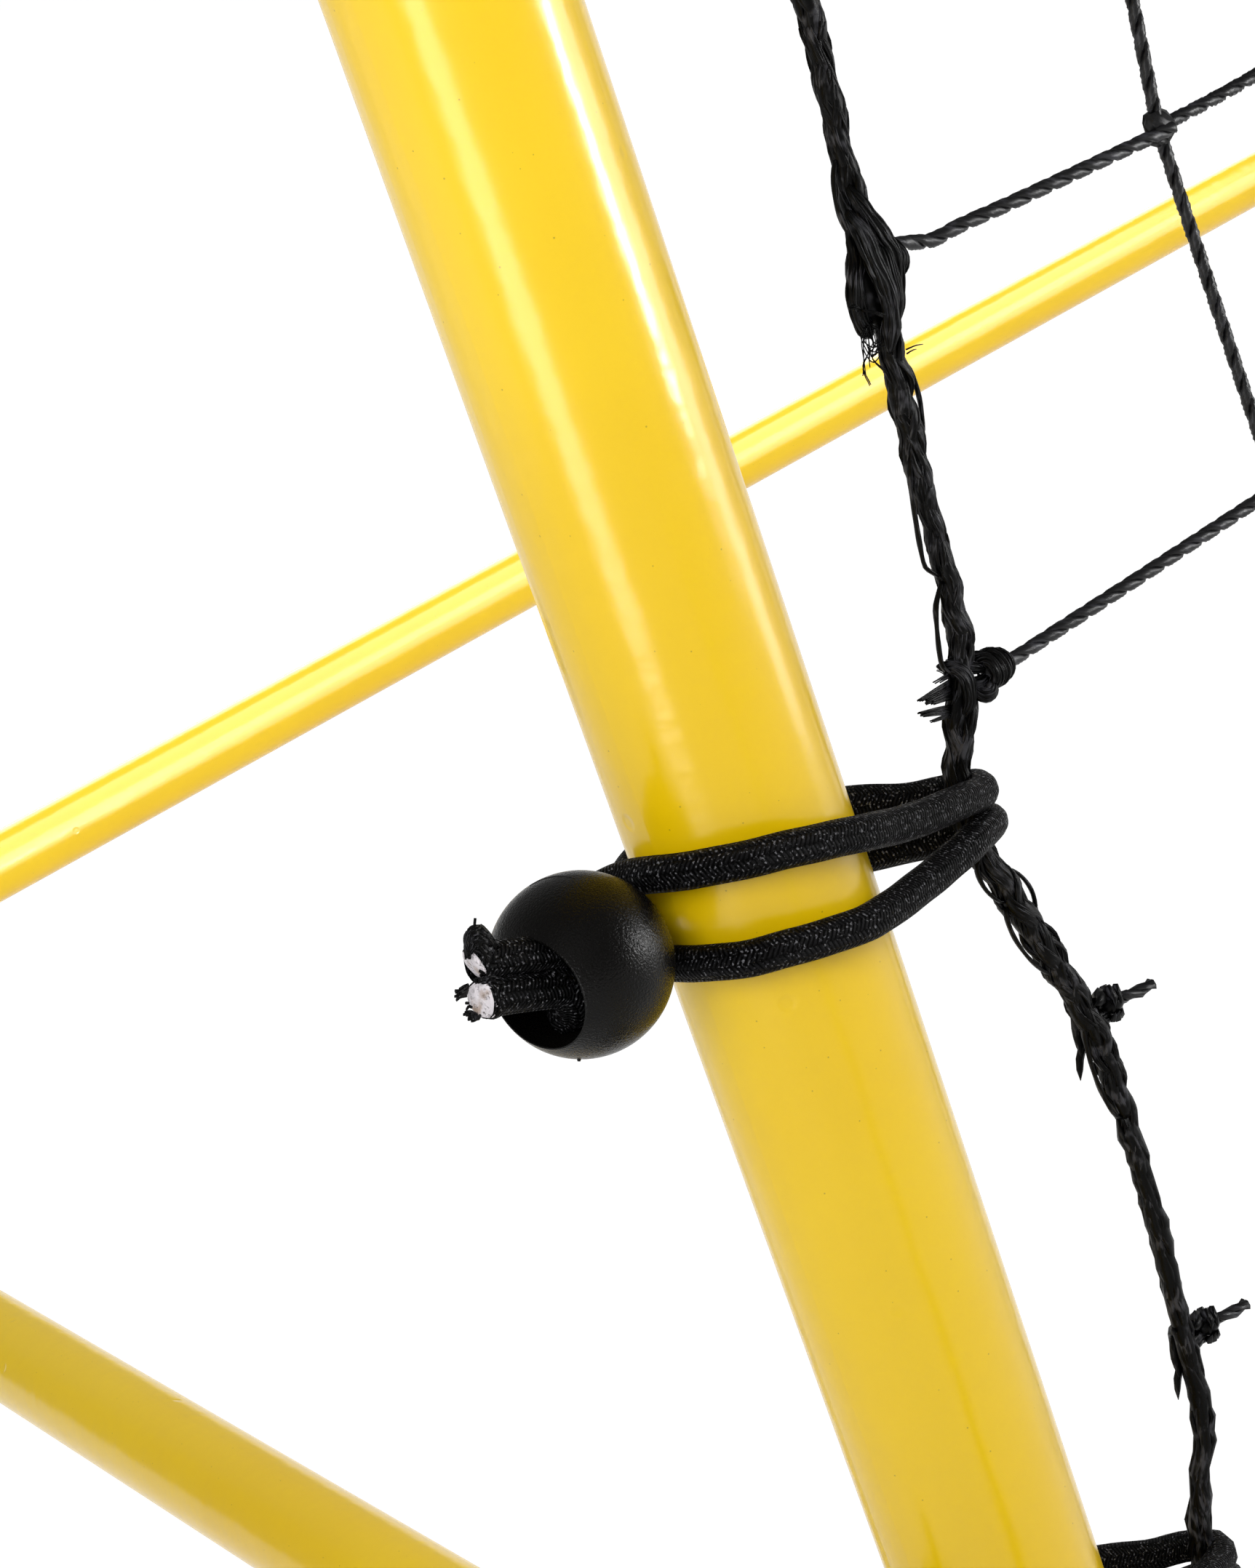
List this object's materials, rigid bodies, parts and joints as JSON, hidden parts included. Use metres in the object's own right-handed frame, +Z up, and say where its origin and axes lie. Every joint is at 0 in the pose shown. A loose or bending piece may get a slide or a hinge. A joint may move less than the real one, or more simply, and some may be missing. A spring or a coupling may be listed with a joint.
{
  "type": "volleyball net on poles",
  "caption": "Freestanding volleyball net on telescopic yellow poles with a tubular ground frame; a black square-mesh net hangs from the poles on ball bungees.",
  "frame": {"origin": "on the ground under the middle of the net", "axes": "+X along the net to the right, +Y across the net to the rear, +Z up"},
  "size_m": [3.0972, 1.6318, 1.069],
  "materials": {
    "yellow_powder_coat": "glossy yellow powder coat on steel tube",
    "black_moulding": "fine-grained black moulded plastic",
    "ball_plastic": "satin black moulded ball",
    "zinc_steel": "zinc-plated steel",
    "brass_insert": "turned brass",
    "black_rubber": "matte black rubber",
    "elastic_cord": "black braided elastic cord with a pale core",
    "net_twine": "black twisted polyethylene twine and rope",
    "tape_cloth": "yellow woven tape with stitched edges"
  },
  "bodies": {
    "ground_frame": {"left_lower_pole": "yellow_powder_coat", "right_lower_pole": "yellow_powder_coat", "left_collar": "black_moulding", "right_collar": "black_moulding", "left_thread_insert": "brass_insert", "right_thread_insert": "brass_insert", "left_base_tee": "black_moulding", "right_base_tee": "black_moulding", "left_front_foot_tube": "yellow_powder_coat", "left_rear_foot_tube": "yellow_powder_coat", "right_front_foot_tube": "yellow_powder_coat", "right_rear_foot_tube": "yellow_powder_coat", "left_front_corner": "black_moulding", "left_rear_corner": "black_moulding", "right_front_corner": "black_moulding", "right_rear_corner": "black_moulding", "front_bar_left": "yellow_powder_coat", "front_bar_right": "yellow_powder_coat", "rear_bar_left": "yellow_powder_coat", "rear_bar_right": "yellow_powder_coat", "front_bar_spigot": "zinc_steel", "rear_bar_spigot": "zinc_steel", "front_button_spring": "zinc_steel", "rear_button_spring": "zinc_steel", "left_frame_screws": "zinc_steel", "right_frame_screws": "zinc_steel", "rubber_feet": "black_rubber", "bar_saddles": "black_rubber"},
    "left_mast_and_net": {"left_upper_pole": "yellow_powder_coat", "left_guide_bush": "black_moulding", "left_pole_cap": "black_moulding", "net_mesh": "net_twine", "left_edge_rope": "net_twine", "right_edge_rope": "net_twine", "bottom_rope": "net_twine", "top_tape": "tape_cloth", "top_cord": "net_twine", "left_bungee_cords": "elastic_cord", "right_bungee_cords": "elastic_cord", "left_bungee_balls": "ball_plastic", "right_bungee_balls": "ball_plastic"},
    "right_mast": {"right_upper_pole": "yellow_powder_coat", "right_guide_bush": "black_moulding", "right_pole_cap": "black_moulding"},
    "left_clamp": {"left_knob": "black_moulding", "left_clamp_screw": "zinc_steel"},
    "right_clamp": {"right_knob": "black_moulding", "right_clamp_screw": "zinc_steel"},
    "front_left_snap": {"front_button_left": "zinc_steel"},
    "front_right_snap": {"front_button_right": "zinc_steel"},
    "rear_left_snap": {"rear_button_left": "zinc_steel"},
    "rear_right_snap": {"rear_button_right": "zinc_steel"}
  },
  "joints": [
    {"name": "left_pole_slide", "type": "slide", "parent": "ground_frame", "child": "left_mast_and_net", "axis": [0, 0, 1], "range_m": [0, 0.24]},
    {"name": "right_pole_slide", "type": "slide", "parent": "ground_frame", "child": "right_mast", "axis": [0, 0, 1], "range_m": [0, 0.24]},
    {"name": "left_knob_turn", "type": "hinge", "parent": "ground_frame", "child": "left_clamp", "pos_m": [-1.5262, 0, 1.0077], "axis": [1, 0, 0], "range_deg": [0, 270]},
    {"name": "right_knob_turn", "type": "hinge", "parent": "ground_frame", "child": "right_clamp", "pos_m": [1.5262, 0, 1.0077], "axis": [-1, 0, 0], "range_deg": [0, 270]},
    {"name": "front_left_snap_press", "type": "slide", "parent": "ground_frame", "child": "front_left_snap", "axis": [0, 0, -1], "range_m": [0, 0.005], "stiffness_N_per_m": 1200},
    {"name": "front_right_snap_press", "type": "slide", "parent": "ground_frame", "child": "front_right_snap", "axis": [0, 0, -1], "range_m": [0, 0.005], "stiffness_N_per_m": 1200},
    {"name": "rear_left_snap_press", "type": "slide", "parent": "ground_frame", "child": "rear_left_snap", "axis": [0, 0, -1], "range_m": [0, 0.005], "stiffness_N_per_m": 1200},
    {"name": "rear_right_snap_press", "type": "slide", "parent": "ground_frame", "child": "rear_right_snap", "axis": [0, 0, -1], "range_m": [0, 0.005], "stiffness_N_per_m": 1200}
  ],
  "couplings": [
    {"joint": "right_pole_slide", "follows": "left_pole_slide", "ratio": 1}
  ]
}
